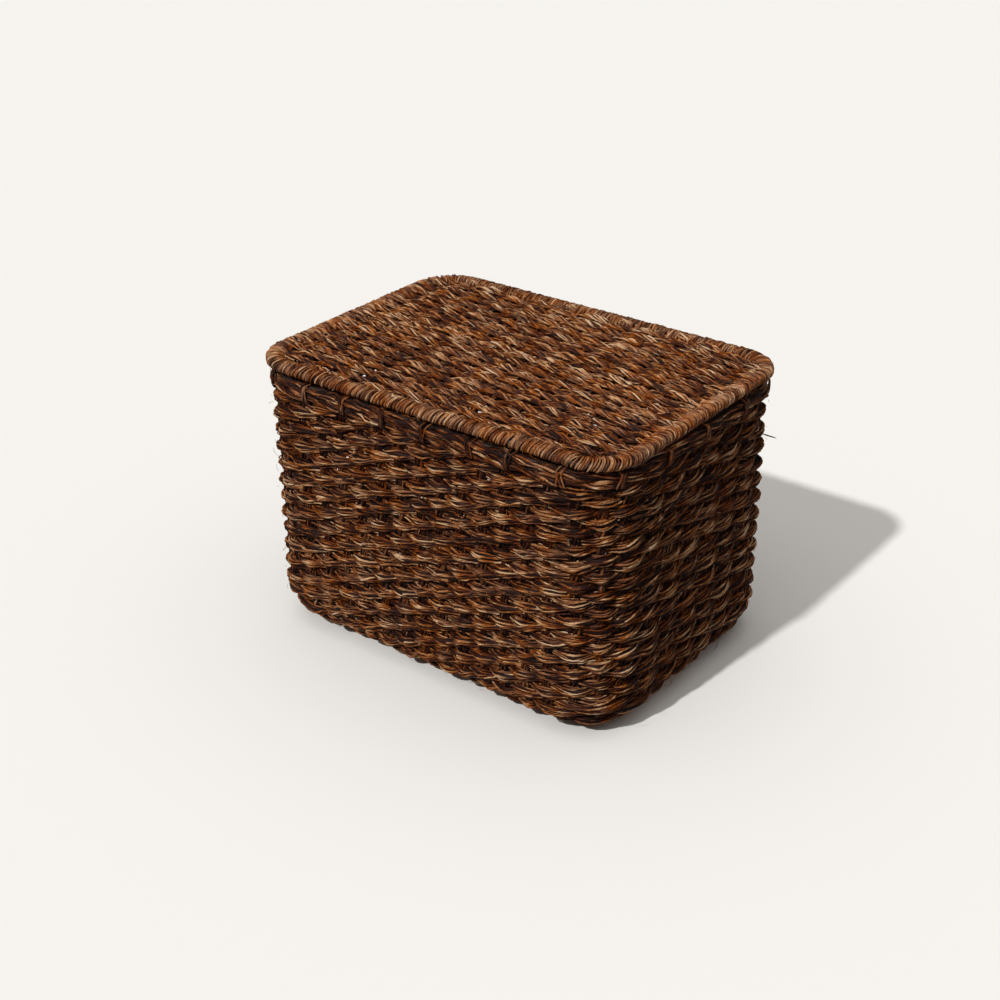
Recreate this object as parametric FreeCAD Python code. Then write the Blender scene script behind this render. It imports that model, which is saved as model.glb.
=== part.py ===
import FreeCAD, Part
import math
import os

# A lidded rectangular storage basket of plaited plant-fibre rope on a welded wire frame.
# Millimetres. +X runs along the long side, +Y to the back, +Z up.
# The origin is the middle of the footprint, on the surface that the basket stands on.

Vector = FreeCAD.Vector

# ---- Body, outside sizes ----
BODY_LENGTH = 382.6
BODY_WIDTH = 278.8
BODY_HEIGHT = 246.4
BODY_CORNER_RADIUS = 57.2
BODY_EDGE_RADIUS = 35.3

# ---- Body weave: flattened ropes (courses) passing in front of and behind upright stakes ----
COURSE_PITCH = 8.2
COURSE_THICKNESS = 5.6
COURSE_GAP = 0.4
EDGE_COURSE_SPACE = 1.2
STAKE_THICKNESS = 4.2
STAKE_WIDTH = 7.0
LONG_SIDE_STAKE_PITCH = 21.5
SHORT_SIDE_STAKE_PITCH = 29.0
WEAVE_CLEARANCE = 0.3
BASE_ROW_PITCH = 8.2

# ---- Wire frame of the body ----
POST_DIAMETER = 4.0
HOOP_DIAMETER = 4.0
WELD_GAP = 0.1
BASE_HOOP_CLEARANCE = 1.0
TURN_UNDER_PAST_HOOP = 1.0

# ---- Top border: two plain ropes either side of the stake ends, lashed together ----
BORDER_HEIGHT = 14.4
LASHING_THICKNESS = 0.9
LASHING_WIDTH = 6.0

# ---- Lid: it rests on the border and stops short of the body's outer faces ----
LID_END_STEP_BACK = 1.3
LID_SIDE_STEP_BACK = 4.6
LID_CORNER_RADIUS = 40.4
LID_SEAT_GAP = 0.4
LID_ROW_PITCH = 6.95
LID_ROW_THICKNESS = 2.9
LID_ROW_GAP = 0.3
LID_STAKE_PITCH = 29.4
LID_STAKE_THICKNESS = 3.0
LID_STAKE_WIDTH = 7.0
LID_WEAVE_CLEARANCE = 0.2
LID_HOOP_DIAMETER = 5.0
LID_WRAP_THICKNESS = 0.9
LID_WRAP_WIDTH = 16.0
LID_WRAP_CLEARANCE = 0.25
LID_CROSS_BAR_PLACE = 3

# ---- Body sizes that follow from those ----
HALF_LENGTH = BODY_LENGTH / 2
HALF_WIDTH = BODY_WIDTH / 2
CORE_THICKNESS = max(STAKE_THICKNESS, POST_DIAMETER, HOOP_DIAMETER)
WALL_THICKNESS = 2 * COURSE_THICKNESS + CORE_THICKNESS + 2 * WEAVE_CLEARANCE
MID_DEPTH = WALL_THICKNESS / 2
OUTER_COURSE_DEPTH = COURSE_THICKNESS / 2
INNER_COURSE_DEPTH = WALL_THICKNESS - COURSE_THICKNESS / 2
EDGE_CENTRE_X = HALF_LENGTH - BODY_EDGE_RADIUS
EDGE_CENTRE_Y = HALF_WIDTH - BODY_EDGE_RADIUS
EDGE_CENTRE_CORNER = BODY_CORNER_RADIUS - BODY_EDGE_RADIUS
CORNER_CENTRE_X = HALF_LENGTH - BODY_CORNER_RADIUS
CORNER_CENTRE_Y = HALF_WIDTH - BODY_CORNER_RADIUS
QUARTER_TURN = math.pi / 2

# Counter-clockwise from the front left, each side of the wall ends at one of these corners.
# A corner holds a rope stake, the wire post at its middle, and another rope stake.
CORNER_NAMES = ("front_right", "back_right", "back_left", "front_left")
CORNER_PLACES = ("corner_stake", "post", "corner_stake")

# A rope passes a stake on a short flat, then slants across to the other side of the next stake.
# The mitre moves the rope's two faces apart where it turns from the flat to the slant.
FLAT_REACH = 1.8
MITRE_SHIFT = 1.1

# Four corners are in one plane where the fourth is nearer to it than this.
FLATNESS = 1e-6


def rounded_rectangle(half_x, half_y, radius, z):
    """Closed wire of a rectangle with rounded corners, centred on the Z axis."""
    inner_x = half_x - radius
    inner_y = half_y - radius
    diagonal = radius / math.sqrt(2)
    edges = []
    for side_x, side_y in ((1, -1), (1, 1), (-1, 1), (-1, -1)):
        along_x = Vector(side_x * inner_x, side_y * half_y, z)
        middle = Vector(side_x * (inner_x + diagonal), side_y * (inner_y + diagonal), z)
        along_y = Vector(side_x * half_x, side_y * inner_y, z)
        first, last = (along_x, along_y) if side_x * side_y < 0 else (along_y, along_x)
        if edges:
            edges.append(Part.makeLine(edges[-1].Vertexes[-1].Point, first))
        edges.append(Part.Arc(first, middle, last).toShape())
    edges.append(Part.makeLine(edges[-1].Vertexes[-1].Point, edges[0].Vertexes[0].Point))
    return Part.Wire(edges)


def ring_face(outer, inner):
    """Flat face between an outer and an inner closed wire."""
    return Part.makeFace([outer, inner], "Part::FaceMakerBullseye")


def flat_ring(half_x, half_y, radius, outer_depth, inner_depth, bottom, height):
    """Ring of rectangular section that follows a rounded rectangle, between two depths inside it."""
    outer = rounded_rectangle(half_x - outer_depth, half_y - outer_depth, radius - outer_depth, bottom)
    inner = rounded_rectangle(half_x - inner_depth, half_y - inner_depth, radius - inner_depth, bottom)
    return ring_face(outer, inner).extrude(Vector(0, 0, height))


def round_hoop(half_x, half_y, radius, diameter, z):
    """Ring of round wire whose centre line is a rounded rectangle."""
    path = rounded_rectangle(half_x, half_y, radius, z)
    section = Part.Wire(Part.makeCircle(diameter / 2, Vector(0, -half_y, z), Vector(1, 0, 0)))
    return section_along(path, section)


def section_along(path, section):
    """Solid swept by a closed section along a path of tangent lines and arcs."""
    return path.makePipeShell([section], True, False)


def band_outline(half_flat, depth, thickness, side):
    """Lateral reach and depth of a rope's outer and inner faces beside a stake.

    side is -1 where the rope is on the outer side of the stake (or under it), and +1 on the other.
    """
    outer = (half_flat - side * MITRE_SHIFT, depth - thickness / 2)
    inner = (half_flat + side * MITRE_SHIFT, depth + thickness / 2)
    return outer, inner


class Station:
    """One upright place around the wall: a stake, a post or a lashing."""

    def __init__(self, distance):
        """distance is measured along the middle of the wall from the front left corner."""
        turn_radius = BODY_CORNER_RADIUS - MID_DEPTH
        arc = turn_radius * QUARTER_TURN
        corners = ((1, -1), (1, 1), (-1, 1), (-1, -1))
        sides = (2 * CORNER_CENTRE_X, 2 * CORNER_CENTRE_Y) * 2
        heading = 0.0
        for side, (corner_x, corner_y) in zip(sides, corners):
            tangent = Vector(math.cos(heading), math.sin(heading), 0)
            normal = Vector(math.sin(heading), -math.cos(heading), 0)
            centre = Vector(corner_x * CORNER_CENTRE_X, corner_y * CORNER_CENTRE_Y, 0)
            if distance <= side:
                start = centre + normal * EDGE_CENTRE_CORNER - tangent * side
                self.anchor = start + tangent * distance
                break
            distance -= side
            if distance <= arc:
                turn = heading + distance / turn_radius
                tangent = Vector(math.cos(turn), math.sin(turn), 0)
                normal = Vector(math.sin(turn), -math.cos(turn), 0)
                self.anchor = centre + normal * EDGE_CENTRE_CORNER
                break
            distance -= arc
            heading += QUARTER_TURN
        self.tangent = tangent
        self.normal = normal

    def wall_point(self, lateral, depth, z):
        """Point of the upright wall, depth inside its outer face."""
        outward = self.normal * (BODY_EDGE_RADIUS - depth)
        return self.anchor + outward + self.tangent * lateral + Vector(0, 0, z)

    def edge_point(self, lateral, depth, angle):
        """Point of the rounded bottom edge: angle 0 is the foot of the wall, a quarter turn the base."""
        reach = BODY_EDGE_RADIUS - depth
        outward = self.normal * (reach * math.cos(angle))
        height = BODY_EDGE_RADIUS - reach * math.sin(angle)
        return self.anchor + outward + self.tangent * lateral + Vector(0, 0, height)


def centred_places(length, pitch):
    """Evenly pitched places centred on a length, as many as fit between its ends."""
    count = int(length / pitch) + 1
    return [length / 2 + (index - (count - 1) / 2) * pitch for index in range(count)]


def wall_distances():
    """Distances round the wall of every stake and post, with the kind of each."""
    arc = (BODY_CORNER_RADIUS - MID_DEPTH) * QUARTER_TURN
    sides = (
        ("front", 2 * CORNER_CENTRE_X, LONG_SIDE_STAKE_PITCH),
        ("right", 2 * CORNER_CENTRE_Y, SHORT_SIDE_STAKE_PITCH),
        ("back", 2 * CORNER_CENTRE_X, LONG_SIDE_STAKE_PITCH),
        ("left", 2 * CORNER_CENTRE_Y, SHORT_SIDE_STAKE_PITCH),
    )
    distances = []
    start = 0.0
    for name, length, pitch in sides:
        for place in centred_places(length, pitch):
            distances.append((name, start + place))
        start += length
        for number, kind in enumerate(CORNER_PLACES, 1):
            distances.append((kind, start + arc * number / (len(CORNER_PLACES) + 1)))
        start += arc
    return distances


WALL_PLACES = wall_distances()
WALL_STATIONS = [(kind, Station(distance)) for kind, distance in WALL_PLACES]
FLAT_HALF = STAKE_WIDTH / 2 + FLAT_REACH


def rope_loops(phase, skips, point_at):
    """Outer and inner polygons of a rope that passes the stakes and posts on alternate sides.

    Where there is no stake of the kind that it skips, the rope is halfway across the wall.
    """
    outer_loop = []
    inner_loop = []
    passed = 0
    for kind, station in WALL_STATIONS:
        if kind == skips:
            outer_loop.append(point_at(station, 0, MID_DEPTH - COURSE_THICKNESS / 2))
            inner_loop.append(point_at(station, 0, MID_DEPTH + COURSE_THICKNESS / 2))
            continue
        inside = (passed + phase) % 2 == 1
        passed += 1
        depth = INNER_COURSE_DEPTH if inside else OUTER_COURSE_DEPTH
        outer, inner = band_outline(FLAT_HALF, depth, COURSE_THICKNESS, 1 if inside else -1)
        for direction in (-1, 1):
            outer_loop.append(point_at(station, direction * outer[0], outer[1]))
            inner_loop.append(point_at(station, direction * inner[0], inner[1]))
    return outer_loop, inner_loop


def closed_polygon(points):
    """Closed wire through the points."""
    return Part.makePolygon(points + points[:1])


def wall_course(bottom, height, phase):
    """One rope course of the upright wall."""
    loops = rope_loops(phase, None, lambda s, lateral, depth: s.wall_point(lateral, depth, bottom))
    return ring_face(*[closed_polygon(loop) for loop in loops]).extrude(Vector(0, 0, height))


def patch_faces(a, b, c, d):
    """One flat face through four corners, or two triangles where they aren't in one plane."""
    normal = (b - a).cross(d - a)
    if abs(normal.dot(c - a)) < FLATNESS * normal.Length:
        return [Part.Face(closed_polygon([a, b, c, d]))]
    return [Part.Face(closed_polygon([a, b, c])), Part.Face(closed_polygon([a, c, d]))]


def edge_course(upper_angle, lower_angle, phase):
    """One rope course round the curved bottom edge, narrower inside than outside.

    The corner stakes end above it, so it passes only the other stakes and the posts.
    """
    outer_side = []
    inner_side = []
    for share in (0, 0.5, 1):
        angle = upper_angle + share * (lower_angle - upper_angle)
        outer, inner = rope_loops(
            phase, "corner_stake", lambda s, lateral, depth, angle=angle: s.edge_point(lateral, depth, angle)
        )
        outer_side.append(outer)
        inner_side.append(inner)
    section = inner_side + outer_side[::-1]
    count = len(section[0])
    faces = []
    for index in range(count):
        following = (index + 1) % count
        for corner, here in enumerate(section):
            beside = section[(corner + 1) % len(section)]
            faces += patch_faces(here[index], here[following], beside[following], beside[index])
    shell = Part.Shell(faces)
    shell.sewShape()
    return Part.Solid(shell)


def strip(face, normal, width):
    """Flat strip: a face extruded along its normal by a width, half to each side."""
    return face.translated(normal * (-width / 2)).extrude(normal * width)


def rope_stake_profile(reach_inward, top):
    """Half outline of a stake: down the wall, round the edge and inward along the base.

    Drawn in a station's own plane, X being zero, Y outward from the anchor and Z up.
    """
    outer = BODY_EDGE_RADIUS - MID_DEPTH + STAKE_THICKNESS / 2
    inner = BODY_EDGE_RADIUS - MID_DEPTH - STAKE_THICKNESS / 2
    centre_z = BODY_EDGE_RADIUS
    bend = math.sqrt(0.5)

    def at(y, z):
        return Vector(0, y, z)

    outer_arc = Part.Arc(
        at(outer, centre_z), at(outer * bend, centre_z - outer * bend), at(0, centre_z - outer)
    ).toShape()
    inner_arc = Part.Arc(
        at(0, centre_z - inner), at(inner * bend, centre_z - inner * bend), at(inner, centre_z)
    ).toShape()
    edges = [
        Part.makeLine(at(outer, top), at(outer, centre_z)),
        outer_arc,
        Part.makeLine(at(0, centre_z - outer), at(-reach_inward, centre_z - outer)),
        Part.makeLine(at(-reach_inward, centre_z - outer), at(-reach_inward, centre_z - inner)),
        Part.makeLine(at(-reach_inward, centre_z - inner), at(0, centre_z - inner)),
        inner_arc,
        Part.makeLine(at(inner, centre_z), at(inner, top)),
        Part.makeLine(at(inner, top), at(outer, top)),
    ]
    return Part.Wire(edges)


def bent_stake(station, reach_inward, top):
    """Rope stake down one wall that turns under the base."""
    stake = strip(Part.Face(rope_stake_profile(reach_inward, top)), Vector(1, 0, 0), STAKE_WIDTH)
    stake.Placement = outward_placement(station)
    return stake


def outward_placement(station):
    """Placement that turns local +Y to the station's outward normal, at its anchor."""
    turn = math.degrees(math.atan2(station.normal.y, station.normal.x)) - 90
    return FreeCAD.Placement(station.anchor, FreeCAD.Rotation(Vector(0, 0, 1), turn))


def straight_stake(station, bottom, top):
    """Short rope stake that stands in the wall at a corner."""
    box = Part.makeBox(
        STAKE_WIDTH,
        STAKE_THICKNESS,
        top - bottom,
        Vector(-STAKE_WIDTH / 2, BODY_EDGE_RADIUS - MID_DEPTH - STAKE_THICKNESS / 2, bottom),
    )
    box.Placement = outward_placement(station)
    return box


def corner_post(station, reach_inward, top):
    """Round wire post: down the corner, round the bottom edge and in under the base hoop."""
    reach = BODY_EDGE_RADIUS - MID_DEPTH
    bend = math.sqrt(0.5)
    centre_z = BODY_EDGE_RADIUS
    head = Vector(0, reach, top)
    foot = Vector(0, reach, centre_z)
    under = Vector(0, 0, centre_z - reach)
    path = Part.Wire([
        Part.makeLine(head, foot),
        Part.Arc(foot, Vector(0, reach * bend, centre_z - reach * bend), under).toShape(),
        Part.makeLine(under, under - Vector(0, reach_inward, 0)),
    ])
    section = Part.Wire(Part.makeCircle(POST_DIAMETER / 2, head, Vector(0, 0, 1)))
    post = section_along(path, section)
    post.Placement = outward_placement(station)
    return post


def border_lashing(station, bottom, top):
    """Flat strand wound once round the border, drawn as a closed square loop."""
    outline = []
    for inset in (0, LASHING_THICKNESS):
        low_y = BODY_EDGE_RADIUS - WALL_THICKNESS + inset
        high_y = BODY_EDGE_RADIUS - inset
        low_z = bottom + inset
        high_z = top - inset
        corners = ((low_y, low_z), (high_y, low_z), (high_y, high_z), (low_y, high_z))
        outline.append(closed_polygon([Vector(0, y, z) for y, z in corners]))
    loop = strip(ring_face(*outline), Vector(1, 0, 0), LASHING_WIDTH)
    loop.Placement = outward_placement(station)
    return loop


def woven_row(places, phase, ends, levels, thickness, flat_half):
    """Outline, in the XZ plane, of a rope that runs along X over and under the places.

    ends are its first and last X, levels its middle heights below and above the places.
    """
    lower_face = []
    upper_face = []
    for index, x in enumerate(places):
        if abs(x) + flat_half + MITRE_SHIFT > ends[1]:
            continue
        above = (index + phase) % 2 == 1
        level = levels[1] if above else levels[0]
        lower, upper = band_outline(flat_half, level, thickness, 1 if above else -1)
        for direction in (-1, 1):
            lower_face.append(Vector(x + direction * lower[0], 0, lower[1]))
            upper_face.append(Vector(x + direction * upper[0], 0, upper[1]))
    for face in (lower_face, upper_face):
        face[0] = Vector(ends[0], 0, face[0].z)
        face[-1] = Vector(ends[1], 0, face[-1].z)
    return closed_polygon(lower_face + upper_face[::-1])


def half_span(half_along, half_across, radius, across):
    """How far a rounded rectangle reaches along one axis at a distance across it."""
    beyond = abs(across) - (half_across - radius)
    if beyond <= 0:
        return half_along
    return half_along - radius + math.sqrt(max(radius * radius - beyond * beyond, 0))


def woven_panel(places, half_x, half_y, radius, pitch, gap, levels, thickness, flat_half):
    """Rows of rope that fill a rounded rectangle, as the odd and the even rows."""
    count = round(2 * half_y / pitch)
    step = 2 * half_y / count
    rows = ([], [])
    for index in range(count):
        middle = -half_y + (index + 0.5) * step
        reach = half_span(half_x, half_y, radius, abs(middle) + (step - gap) / 2)
        outline = woven_row(places, index, (-reach, reach), levels, thickness, flat_half)
        row = strip(Part.Face(outline), Vector(0, 1, 0), step - gap)
        row.translate(Vector(0, middle, 0))
        rows[index % 2].append(row)
    return rows


# ---- The body ----
BORDER_BOTTOM = BODY_HEIGHT - BORDER_HEIGHT
LASHING_BOTTOM = BORDER_BOTTOM - WEAVE_CLEARANCE - LASHING_THICKNESS
COURSES_TOP = LASHING_BOTTOM - WEAVE_CLEARANCE
WALL_COURSES = round((COURSES_TOP - BODY_EDGE_RADIUS) / COURSE_PITCH)
WALL_COURSE_STEP = (COURSES_TOP - BODY_EDGE_RADIUS) / WALL_COURSES
EDGE_COURSES = round((BODY_EDGE_RADIUS - MID_DEPTH) * QUARTER_TURN / COURSE_PITCH)
EDGE_COURSE_STEP = QUARTER_TURN / EDGE_COURSES
EDGE_COURSE_GAP = EDGE_COURSE_SPACE / (BODY_EDGE_RADIUS - MID_DEPTH)
BORDER_ROPE_TOP = BODY_HEIGHT - LASHING_THICKNESS - WEAVE_CLEARANCE
HOOP_LEVEL = BORDER_ROPE_TOP - WEAVE_CLEARANCE - HOOP_DIAMETER / 2
STAKE_TOP = HOOP_LEVEL - HOOP_DIAMETER / 2 - WEAVE_CLEARANCE
BASE_HOOP_INSET = BASE_HOOP_CLEARANCE + HOOP_DIAMETER / 2
BASE_HOOP_LEVEL = MID_DEPTH + max(STAKE_THICKNESS, POST_DIAMETER) / 2 + WELD_GAP + HOOP_DIAMETER / 2
BASE_PANEL_INSET = BASE_HOOP_INSET + HOOP_DIAMETER / 2 + BASE_HOOP_CLEARANCE
STAKE_TURN_UNDER = BASE_HOOP_INSET + TURN_UNDER_PAST_HOOP

# ---- The lid ----
LID_HALF_LENGTH = HALF_LENGTH - LID_END_STEP_BACK
LID_HALF_WIDTH = HALF_WIDTH - LID_SIDE_STEP_BACK
LID_PANEL_THICKNESS = 2 * LID_ROW_THICKNESS + LID_STAKE_THICKNESS + 2 * LID_WEAVE_CLEARANCE
LID_THICKNESS = LID_PANEL_THICKNESS + 2 * (LID_WRAP_THICKNESS + LID_WRAP_CLEARANCE)
LID_BOTTOM = BODY_HEIGHT + LID_SEAT_GAP
LID_MIDDLE = LID_BOTTOM + LID_THICKNESS / 2
LID_HOOP_INSET = LID_WRAP_THICKNESS + LID_WRAP_CLEARANCE + LID_HOOP_DIAMETER / 2
LID_PANEL_INSET = LID_HOOP_INSET + LID_HOOP_DIAMETER / 2 + LID_WRAP_CLEARANCE


def body_courses(nodes):
    """Every rope course of the wall and of the curved bottom edge, from the bottom up."""
    height = WALL_COURSE_STEP - COURSE_GAP
    for number in range(WALL_COURSES):
        bottom = BODY_EDGE_RADIUS + number * WALL_COURSE_STEP + COURSE_GAP / 2
        nodes[f"side_course_{number + 1:02d}"] = [wall_course(bottom, height, number)]
    for number in range(EDGE_COURSES):
        upper = number * EDGE_COURSE_STEP + EDGE_COURSE_GAP / 2
        lower = (number + 1) * EDGE_COURSE_STEP - EDGE_COURSE_GAP / 2
        nodes[f"edge_course_{number + 1}"] = [edge_course(upper, lower, number + 1)]


def body_stakes(nodes):
    """Rope stakes: through from front to back, turned under at the short sides, and at the corners."""
    front = [station for kind, station in WALL_STATIONS if kind == "front"]
    through = []
    for station in front:
        half = bent_stake(station, EDGE_CENTRE_Y, STAKE_TOP)
        other = half.mirror(Vector(0, 0, 0), Vector(0, 1, 0))
        through.append(half.fuse(other).removeSplitter().Solids[0])
    nodes["front_back_stakes"] = through
    for name in ("left", "right"):
        stations = [station for kind, station in WALL_STATIONS if kind == name]
        stakes = [bent_stake(station, STAKE_TURN_UNDER, STAKE_TOP) for station in stations]
        nodes[f"{name}_side_stakes"] = stakes
    corner = [station for kind, station in WALL_STATIONS if kind == "corner_stake"]
    for name, first, second in zip(CORNER_NAMES, corner[::2], corner[1::2]):
        stakes = [straight_stake(station, BODY_EDGE_RADIUS, STAKE_TOP) for station in (first, second)]
        nodes[f"corner_stakes_{name}"] = stakes


def body_wire_frame(nodes):
    """Welded wire: four bent posts between the rim hoop and the base hoop."""
    posts = [station for kind, station in WALL_STATIONS if kind == "post"]
    top = HOOP_LEVEL - HOOP_DIAMETER / 2 - WELD_GAP
    for name, station in zip(CORNER_NAMES, posts):
        nodes[f"corner_post_{name}"] = [corner_post(station, STAKE_TURN_UNDER, top)]
    nodes["rim_hoop"] = [round_hoop(
        HALF_LENGTH - MID_DEPTH,
        HALF_WIDTH - MID_DEPTH,
        BODY_CORNER_RADIUS - MID_DEPTH,
        HOOP_DIAMETER,
        HOOP_LEVEL,
    )]
    nodes["base_hoop"] = [round_hoop(
        EDGE_CENTRE_X - BASE_HOOP_INSET,
        EDGE_CENTRE_Y - BASE_HOOP_INSET,
        EDGE_CENTRE_CORNER - BASE_HOOP_INSET,
        HOOP_DIAMETER,
        BASE_HOOP_LEVEL,
    )]


def body_base(nodes):
    """Rope rows across the base, over and under the stakes that run from front to back."""
    places = [station.anchor.x for kind, station in WALL_STATIONS if kind == "front"]
    levels = (OUTER_COURSE_DEPTH, INNER_COURSE_DEPTH)
    odd, even = woven_panel(
        places,
        EDGE_CENTRE_X - BASE_PANEL_INSET,
        EDGE_CENTRE_Y - BASE_PANEL_INSET,
        EDGE_CENTRE_CORNER - BASE_PANEL_INSET,
        BASE_ROW_PITCH,
        COURSE_GAP,
        levels,
        COURSE_THICKNESS,
        FLAT_HALF,
    )
    nodes["base_rows_odd"] = odd
    nodes["base_rows_even"] = even


def body_border(nodes):
    """Outer and inner border ropes, and a lashing round them in every second gap between stakes."""
    height = BORDER_ROPE_TOP - BORDER_BOTTOM
    strand = LASHING_THICKNESS + WEAVE_CLEARANCE
    shape = (HALF_LENGTH, HALF_WIDTH, BODY_CORNER_RADIUS)
    nodes["border_rope_outer"] = [flat_ring(*shape, strand, COURSE_THICKNESS, BORDER_BOTTOM, height)]
    inner_start = WALL_THICKNESS - COURSE_THICKNESS
    inner_end = WALL_THICKNESS - strand
    nodes["border_rope_inner"] = [flat_ring(*shape, inner_start, inner_end, BORDER_BOTTOM, height)]
    lashings = []
    for index in range(0, len(WALL_PLACES), 2):
        middle = (WALL_PLACES[index][1] + WALL_PLACES[index + 1][1]) / 2
        lashings.append(border_lashing(Station(middle), LASHING_BOTTOM, BODY_HEIGHT))
    nodes["border_lashings"] = lashings


def lid_weave(nodes):
    """The lid's woven panel: stakes and two wire bars from front to back, and rope rows along it."""
    half_x = LID_HALF_LENGTH - LID_PANEL_INSET
    half_y = LID_HALF_WIDTH - LID_PANEL_INSET
    radius = LID_CORNER_RADIUS - LID_PANEL_INSET
    length = 2 * (half_x - LID_STAKE_WIDTH)
    places = [place - length / 2 for place in centred_places(length, LID_STAKE_PITCH)]
    stakes = []
    bars = []
    bar_places = (LID_CROSS_BAR_PLACE, len(places) - 1 - LID_CROSS_BAR_PLACE)
    for index, x in enumerate(places):
        reach = half_span(half_y, half_x, radius, abs(x) + LID_STAKE_WIDTH / 2)
        if index in bar_places:
            start = Vector(x, -reach, LID_MIDDLE)
            bars.append(Part.makeCylinder(LID_STAKE_THICKNESS / 2, 2 * reach, start, Vector(0, 1, 0)))
        else:
            corner = Vector(x - LID_STAKE_WIDTH / 2, -reach, LID_MIDDLE - LID_STAKE_THICKNESS / 2)
            stakes.append(Part.makeBox(LID_STAKE_WIDTH, 2 * reach, LID_STAKE_THICKNESS, corner))
    nodes["lid_stakes"] = stakes
    nodes["lid_cross_bar_left"] = bars[:1]
    nodes["lid_cross_bar_right"] = bars[1:]
    offset = LID_STAKE_THICKNESS / 2 + LID_WEAVE_CLEARANCE + LID_ROW_THICKNESS / 2
    odd, even = woven_panel(
        places,
        half_x,
        half_y,
        radius,
        LID_ROW_PITCH,
        LID_ROW_GAP,
        (LID_MIDDLE - offset, LID_MIDDLE + offset),
        LID_ROW_THICKNESS,
        LID_STAKE_WIDTH / 2 + FLAT_REACH,
    )
    nodes["lid_rows_odd"] = odd
    nodes["lid_rows_even"] = even


def lid_rim(nodes):
    """The lid's wire hoop, and the strand wrapping round it and the panel's edge as one channel."""
    nodes["lid_hoop"] = [round_hoop(
        LID_HALF_LENGTH - LID_HOOP_INSET,
        LID_HALF_WIDTH - LID_HOOP_INSET,
        LID_CORNER_RADIUS - LID_HOOP_INSET,
        LID_HOOP_DIAMETER,
        LID_MIDDLE,
    )]
    shape = (LID_HALF_LENGTH, LID_HALF_WIDTH, LID_CORNER_RADIUS)
    block = flat_ring(*shape, 0, LID_WRAP_WIDTH, LID_BOTTOM, LID_THICKNESS)
    channel_height = LID_THICKNESS - 2 * LID_WRAP_THICKNESS
    channel = flat_ring(
        *shape, LID_WRAP_THICKNESS, LID_WRAP_WIDTH + LID_WRAP_THICKNESS,
        LID_BOTTOM + LID_WRAP_THICKNESS, channel_height
    )
    nodes["lid_rim_wrap"] = [block.cut(channel)]


def main():
    """Build every node and write one STEP file for each."""
    os.makedirs("parts", exist_ok=True)
    nodes = {}
    body_courses(nodes)
    body_stakes(nodes)
    body_wire_frame(nodes)
    body_base(nodes)
    body_border(nodes)
    lid_weave(nodes)
    lid_rim(nodes)
    for name, solids in nodes.items():
        shape = solids[0] if len(solids) == 1 else Part.makeCompound(solids)
        shape.exportStep(f"parts/{name}.step")
        volume = sum(solid.Volume for solid in solids)
        print(f"{name}: {len(shape.Solids)} solids, {volume / 1000:.1f} cm3, valid {shape.isValid()}")
    print(f"{len(nodes)} nodes, {len(WALL_STATIONS)} places round the wall")


main()
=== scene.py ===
"""A lidded storage basket of plaited plant-fibre rope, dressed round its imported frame. Metres, +Z up."""

import logging
import math
from dataclasses import dataclass, field
from enum import Enum
from typing import Optional

import bmesh
import bpy
import numpy as np
from mathutils import Matrix, Vector


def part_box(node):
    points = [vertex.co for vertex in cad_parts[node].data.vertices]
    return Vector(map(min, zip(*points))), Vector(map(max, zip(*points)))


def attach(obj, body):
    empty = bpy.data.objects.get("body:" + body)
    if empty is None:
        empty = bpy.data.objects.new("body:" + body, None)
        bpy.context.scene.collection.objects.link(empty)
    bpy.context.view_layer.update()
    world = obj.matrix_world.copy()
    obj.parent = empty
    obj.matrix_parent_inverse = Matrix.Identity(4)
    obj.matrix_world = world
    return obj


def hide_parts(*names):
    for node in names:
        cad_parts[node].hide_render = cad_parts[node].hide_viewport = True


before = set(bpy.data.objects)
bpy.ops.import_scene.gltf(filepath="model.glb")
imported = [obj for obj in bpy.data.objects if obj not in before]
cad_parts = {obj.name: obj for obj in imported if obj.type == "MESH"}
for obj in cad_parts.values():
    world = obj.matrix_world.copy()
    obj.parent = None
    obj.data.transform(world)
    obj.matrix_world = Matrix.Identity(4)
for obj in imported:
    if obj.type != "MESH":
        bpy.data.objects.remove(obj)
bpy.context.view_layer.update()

LOG = logging.getLogger("basket")
MM = 0.001
TURN = 2 * math.pi
UPWARD = np.array([0.0, 0.0, 1.0])


class Body(Enum):
    """The two bodies that move apart."""

    BASKET = "basket"
    LID = "lid"


class Slot(Enum):
    """The record's material slots."""

    BODY_ROPE = "body_rope"
    LID_ROPE = "lid_rope"
    BINDING = "binding_strand"
    WIRE = "frame_wire"


class Seed(Enum):
    """Where each sub-assembly's random values start."""

    COURSES = 100
    EDGE = 200
    STAKES = 300
    BASE = 400
    BASE_ROWS = 420
    BORDER = 500
    LASHINGS = 520
    LID = 600
    LID_ROWS = 620
    LID_STAKES = 660
    RIM = 700
    LOOSE_FIBRES = 800


class Section(Enum):
    """How many sides a strand's round section is swept with, as a curve's bevel resolution."""

    SQUARE = 0
    HEXAGON = 1

    @property
    def sides(self) -> int:
        """Number of sides of the swept section."""
        return 4 + 2 * self.value


# ---- Shader nodes and finishes ----


def linear_colour(hex_colour: str) -> tuple[float, float, float, float]:
    """Turn an sRGB hex colour into a linear one.

    Args:
        hex_colour: six hex digits, such as "A0522D".

    Returns:
        Linear red, green and blue, and an alpha of 1.
    """
    channels = [int(hex_colour[place:place + 2], 16) / 255 for place in (0, 2, 4)]
    linear = [c / 12.92 if c <= 0.04045 else ((c + 0.055) / 1.055) ** 2.4 for c in channels]
    return (*linear, 1.0)


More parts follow.
